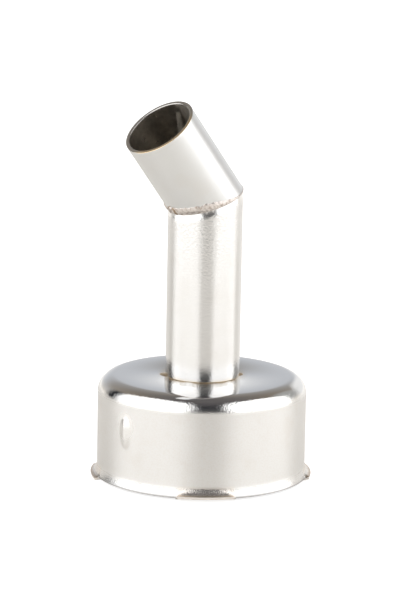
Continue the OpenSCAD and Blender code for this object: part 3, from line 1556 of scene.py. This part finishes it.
@dataclass
class Studio:
    """Pale floor, two softboxes and a dim room with a light wall behind the nozzle.

    A corner of the room has a bearing, an elevation and a colour.
    """

    floor_radius: float = 4.0
    floor_steps: int = 128
    floor_drop: float = 0.01 * MM
    floor_colour: Colour = (0.95, 0.92, 0.865)
    camera_white: float = 0.78
    shadow_share: float = 0.75
    mirror_white: float = 0.3
    mirror_share: float = 0.9
    gloss_roughness: float = 0.2
    gloss_ior: float = 1.4
    far_glow: float = 0.5
    far_span: Span = (0.05, 0.6)
    behind: Stops = (
        (0.0, (1.05, 1.05, 1.05)), (0.1, (0.78, 0.79, 0.81)), (0.23, (0.61, 0.63, 0.67)),
        (0.45, (0.39, 0.38, 0.37)), (0.75, (0.28, 0.255, 0.23)), (1.0, (0.15, 0.14, 0.14)),
    )
    front: Stops = (
        (0.0, (0.20, 0.19, 0.18)), (0.2, (0.10, 0.10, 0.10)), (0.6, (0.045, 0.045, 0.05)),
        (1.0, (0.15, 0.14, 0.14)),
    )
    depth_span: Span = (-0.35, 0.25)
    warm_side: Span = (0.2, 0.6)
    warm_depth: Span = (0.0, 0.3)
    warmth: Colour = (0.93, 0.88, 0.81)
    strip_bearing: float = -115.0
    strip_edge: Span = (0.945, 0.975)
    strip_top: Span = (0.48, 0.62)
    strip_colour: Colour = (0.03, 0.03, 0.035)
    corners: Tuple[Tuple[float, float, Colour], ...] = (
        (150.0, 8.0, WHITE), (121.0, 27.0, (0.45, 0.45, 0.44)),
    )
    corner_edge: Span = (0.935, 0.98)
    lights: Tuple[Softbox, ...] = (
        Softbox(
            "left softbox", bearing=-63.0, distance=0.5, rise=0.3, width=1.12, height=1.3,
            lean=6.0, radiance=1.54,
        ),
        Softbox(
            "right softbox", bearing=67.5, distance=0.5, rise=0.2, width=0.87, height=0.97,
            lean=12.0, radiance=1.54,
        ),
    )

    def build(self) -> None:
        """Makes the lights, the room and the floor."""
        for light in self.lights:
            light.build()
        self._room()
        self._floor()

    def _room(self) -> None:
        """Makes the world: light low down behind, dark in front, dim and warm overhead."""
        world = bpy.data.worlds.new("studio room")
        bpy.context.scene.world = world
        world.use_nodes = True
        graph = Graph(world.node_tree)
        ray = graph.node("ShaderNodeTexCoord", output="Generated")
        depth = graph.axis(ray, "Y")
        rise = depth.out("Z")
        front = graph.ramp(rise, self.front)
        colour = graph.mix(depth.eased(*self.depth_span), front, graph.ramp(rise, self.behind))
        aside = graph.maths("ABSOLUTE", depth.out("X")).eased(*self.warm_side)
        warm = graph.vector("MULTIPLY", colour, self.warmth)
        colour = graph.mix(aside * depth.eased(*self.warm_depth), colour, warm)
        level = graph.vector("NORMALIZE", graph.vector("MULTIPLY", ray, LEVEL))
        strip = graph.dot(level, towards(self.strip_bearing)).eased(*self.strip_edge)
        strip = strip * (1.0 - rise.eased(*self.strip_top))
        colour = graph.mix(strip, colour, rgba(self.strip_colour))
        for bearing, elevation, tint in self.corners:
            share = graph.dot(ray, sloping(bearing, elevation)).eased(*self.corner_edge)
            colour = graph.mix(share, colour, rgba(tint))
        sight = graph.node("ShaderNodeLightPath", output="Is Camera Ray")
        colour = graph.mix(sight, colour, rgba(WHITE))
        shader = graph.node("ShaderNodeBackground", inputs={"Color": colour, "Strength": 1.0})
        graph.node("ShaderNodeOutputWorld", inputs={"Surface": shader}, output=None)

    def _floor(self) -> None:
        """Makes the floor: white to the camera apart from the shadow, glossy to the metal."""
        work = MeshWork()
        level = Matrix.Translation((0.0, 0.0, -self.floor_drop))
        bmesh.ops.create_circle(
            work.bm, cap_ends=True, radius=self.floor_radius, segments=self.floor_steps,
            matrix=level,
        )
        mesh = work.mesh("studio_floor")
        mesh.materials.append(self._floor_material())
        floor = new_object("studio_floor", mesh)

    def _floor_material(self) -> bpy.types.Material:
        """Makes the floor's material.

        Returns:
            The new material.
        """
        made = bpy.data.materials.new("pale floor")
        made.use_nodes = True
        made.cycles.emission_sampling = "NONE"
        graph = Graph(made.node_tree)
        tint = rgba(self.floor_colour)
        plain = graph.node("ShaderNodeBsdfDiffuse", inputs={"Color": tint})
        shadow = rgba((self.shadow_share,) * 3)
        place = graph.node("ShaderNodeTexCoord", output="Object")
        far = graph.axis(place, "Y").eased(*self.far_span) * self.far_glow
        paper = graph.mix(self.camera_white + far, rgba(BLACK), rgba(WHITE))
        seen = graph.node(
            "ShaderNodeAddShader",
            inputs={
                0: graph.node("ShaderNodeEmission", inputs={"Color": paper}),
                1: graph.node("ShaderNodeBsdfDiffuse", inputs={"Color": shadow}),
            },
        )
        gloss = {
            "Base Color": rgba(tuple(self.mirror_share * part for part in self.floor_colour)),
            "Roughness": self.gloss_roughness,
            "IOR": self.gloss_ior,
        }
        glow = {"Color": graph.mix(self.mirror_white + far, rgba(BLACK), tint)}
        mirrored = graph.node(
            "ShaderNodeAddShader",
            inputs={
                0: graph.node("ShaderNodeEmission", inputs=glow),
                1: graph.node("ShaderNodeBsdfPrincipled", inputs=gloss),
            },
        )
        path = graph.node("ShaderNodeLightPath", output="Is Camera Ray")
        polished = graph.maths("MAXIMUM", path.out("Is Glossy Ray"), path.out("Is Transmission Ray"))
        shader = graph.node("ShaderNodeMixShader", inputs={0: polished, 1: plain, 2: mirrored})
        shader = graph.node("ShaderNodeMixShader", inputs={0: path, 1: shader, 2: seen})
        graph.node("ShaderNodeOutputMaterial", inputs={"Surface": shader}, output=None)
        return made


@dataclass
class PhotoCamera:
    """Camera at the photograph's viewing angle."""

    bearing: float = -3.0
    elevation: float = 11.594
    distance: float = 0.5
    pivot_height: float = 30.5 * MM
    aim_right: float = -0.519 * MM
    aim_up: float = -1.618 * MM
    roll: float = 1.064
    lens: float = 186.0
    sensor: float = 36.0
    clip: Span = (0.01, 20.0)

    def build(self) -> None:
        """Makes the camera and gives it to the scene."""
        pivot = UP * self.pivot_height
        back = sloping(self.bearing, self.elevation)
        right, up = self._across(back)
        place = pivot + back * self.distance
        target = pivot + right * self.aim_right + up * self.aim_up
        back = (place - target).normalized()
        turn = axes(*self._across(back), back) @ Matrix.Rotation(math.radians(self.roll), 4, "Z")
        optics = bpy.data.cameras.new("photo camera")
        optics.sensor_width = self.sensor
        optics.lens = self.lens
        optics.clip_start, optics.clip_end = self.clip
        made = new_object("photo camera", optics)
        made.matrix_world = Matrix.Translation(place) @ turn
        bpy.context.scene.camera = made

    @staticmethod
    def _across(back: Vector) -> Tuple[Vector, Vector]:
        """Returns the picture's right and up for a camera that looks away from back."""
        right = UP.cross(back).normalized()
        return right, back.cross(right)


def main() -> None:
    """Builds the nozzle piece by piece, then its studio and camera."""
    logging.basicConfig(level=logging.INFO, format="%(message)s", stream=sys.stdout)
    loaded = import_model()
    frame = NozzleFrame.read(loaded["record"])
    for maker in (BayonetCup, StemTube, TipTube, MitreWeld, BrazeRing):
        piece = maker(frame).build()
        LOG.info("%s: %d faces", piece.name, len(piece.data.polygons))
    Studio().build()
    PhotoCamera().build()
    bpy.context.scene.view_settings.view_transform = "Standard"


if __name__ == "__main__":
    main()
